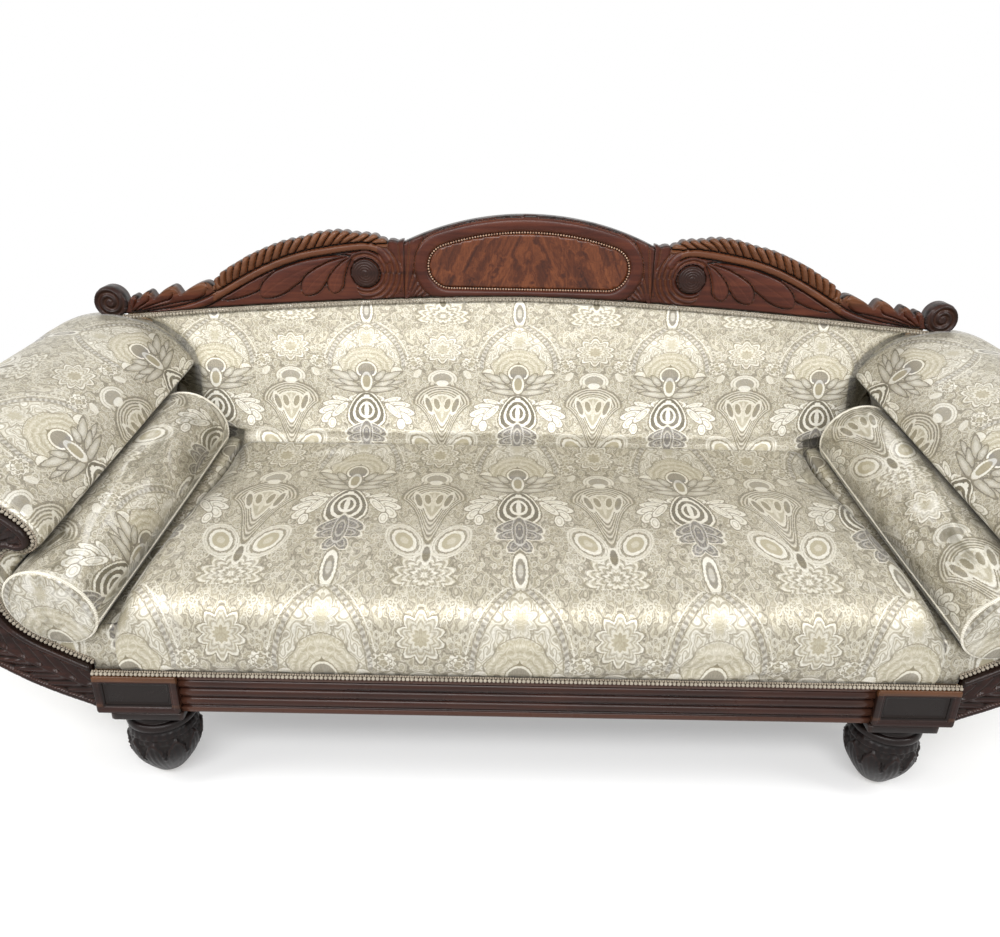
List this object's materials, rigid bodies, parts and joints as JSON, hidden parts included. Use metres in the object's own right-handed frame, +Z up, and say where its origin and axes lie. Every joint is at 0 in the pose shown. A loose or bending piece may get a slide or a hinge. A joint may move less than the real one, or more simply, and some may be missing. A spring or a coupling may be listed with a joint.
{
  "type": "double-ended scroll-arm settee",
  "caption": "Upholstered double-ended settee with outscrolled arms, carved arched crest, loose bolsters, reeded rail and bulbous feet on casters.",
  "frame": {"origin": "middle of the settee's box at floor height, under the middle of the seat", "axes": "+X to the right as seen from the front, along the seat; +Y from the front to the back; +Z up"},
  "size_m": [2.3002, 0.7475, 0.969],
  "materials": {
    "mahogany": "French-polished dark mahogany",
    "mahogany_veneer": "polished flame-figured mahogany veneer",
    "beech": "sawn, unfinished",
    "damask": "satin damask, cream on taupe ground",
    "braid": "beaded gimp",
    "hessian": "plain woven jute",
    "webbing": "herringbone linen webbing",
    "black_cloth": "plain cotton dust cloth",
    "spring_steel": "copper-washed spring wire",
    "brass": "dulled cast brass"
  },
  "bodies": {
    "frame": {"front_rail": "beech", "back_rail": "beech", "end_rail_left": "beech", "end_rail_right": "beech", "cross_rails": "beech", "corner_braces": "beech", "reeded_facing": "mahogany", "tablet_left": "mahogany", "tablet_right": "mahogany", "foot_front_left": "mahogany", "foot_front_right": "mahogany", "foot_back_left": "mahogany", "foot_back_right": "mahogany", "caster_sockets": "brass", "arm_facing_left": "mahogany", "arm_facing_right": "mahogany", "arm_front_board_left": "beech", "arm_front_board_right": "beech", "arm_back_board_left": "beech", "arm_back_board_right": "beech", "arm_rails_left": "beech", "arm_rails_right": "beech", "arm_pad_left": "damask", "arm_pad_right": "damask", "arm_braid_left": "braid", "arm_braid_right": "braid", "arm_outside_left": "damask", "arm_outside_right": "damask", "arm_back_cover_left": "damask", "arm_back_cover_right": "damask", "back_stile_left": "beech", "back_stile_right": "beech", "back_stiles_middle": "beech", "back_top_rail": "beech", "back_lower_rail": "beech", "back_hessian": "hessian", "back_pad": "damask", "back_outside": "damask", "crest_tablet": "mahogany", "crest_panel": "mahogany_veneer", "crest_beading": "mahogany", "crest_wing_left": "mahogany", "crest_wing_right": "mahogany", "crest_dowels": "beech", "seat_webbing": "webbing", "seat_springs": "spring_steel", "seat_hessian": "hessian", "seat_pad": "damask", "dust_cover": "black_cloth", "seat_braid": "braid"},
    "bolster_left": {"bolster_left": "damask"},
    "bolster_right": {"bolster_right": "damask"},
    "caster_horn_front_left": {"caster_horn_front_left": "brass"},
    "caster_horn_front_right": {"caster_horn_front_right": "brass"},
    "caster_horn_back_left": {"caster_horn_back_left": "brass"},
    "caster_horn_back_right": {"caster_horn_back_right": "brass"},
    "caster_wheel_front_left": {"caster_wheel_front_left": "brass"},
    "caster_wheel_front_right": {"caster_wheel_front_right": "brass"},
    "caster_wheel_back_left": {"caster_wheel_back_left": "brass"},
    "caster_wheel_back_right": {"caster_wheel_back_right": "brass"}
  },
  "joints": [
    {"name": "bolster_left_slide", "type": "slide", "parent": "frame", "child": "bolster_left", "axis": [-0.1187, -0.9716, -0.2046], "range_m": [0, 0.45]},
    {"name": "bolster_right_slide", "type": "slide", "parent": "frame", "child": "bolster_right", "axis": [0.1187, -0.9716, -0.2046], "range_m": [0, 0.45]},
    {"name": "caster_swivel_front_left", "type": "hinge", "parent": "frame", "child": "caster_horn_front_left", "pos_m": [-0.6815, -0.27875, 0.02], "axis": [0, 0, 1], "continuous": true},
    {"name": "caster_spin_front_left", "type": "hinge", "parent": "caster_horn_front_left", "child": "caster_wheel_front_left", "pos_m": [-0.6815, -0.27075, 0.014], "axis": [1, 0, 0], "continuous": true},
    {"name": "caster_swivel_front_right", "type": "hinge", "parent": "frame", "child": "caster_horn_front_right", "pos_m": [0.6815, -0.27875, 0.02], "axis": [0, 0, 1], "continuous": true},
    {"name": "caster_spin_front_right", "type": "hinge", "parent": "caster_horn_front_right", "child": "caster_wheel_front_right", "pos_m": [0.6815, -0.27075, 0.014], "axis": [1, 0, 0], "continuous": true},
    {"name": "caster_swivel_back_left", "type": "hinge", "parent": "frame", "child": "caster_horn_back_left", "pos_m": [-0.6815, 0.28125, 0.02], "axis": [0, 0, 1], "continuous": true},
    {"name": "caster_spin_back_left", "type": "hinge", "parent": "caster_horn_back_left", "child": "caster_wheel_back_left", "pos_m": [-0.6815, 0.28925, 0.014], "axis": [1, 0, 0], "continuous": true},
    {"name": "caster_swivel_back_right", "type": "hinge", "parent": "frame", "child": "caster_horn_back_right", "pos_m": [0.6815, 0.28125, 0.02], "axis": [0, 0, 1], "continuous": true},
    {"name": "caster_spin_back_right", "type": "hinge", "parent": "caster_horn_back_right", "child": "caster_wheel_back_right", "pos_m": [0.6815, 0.28925, 0.014], "axis": [1, 0, 0], "continuous": true}
  ]
}
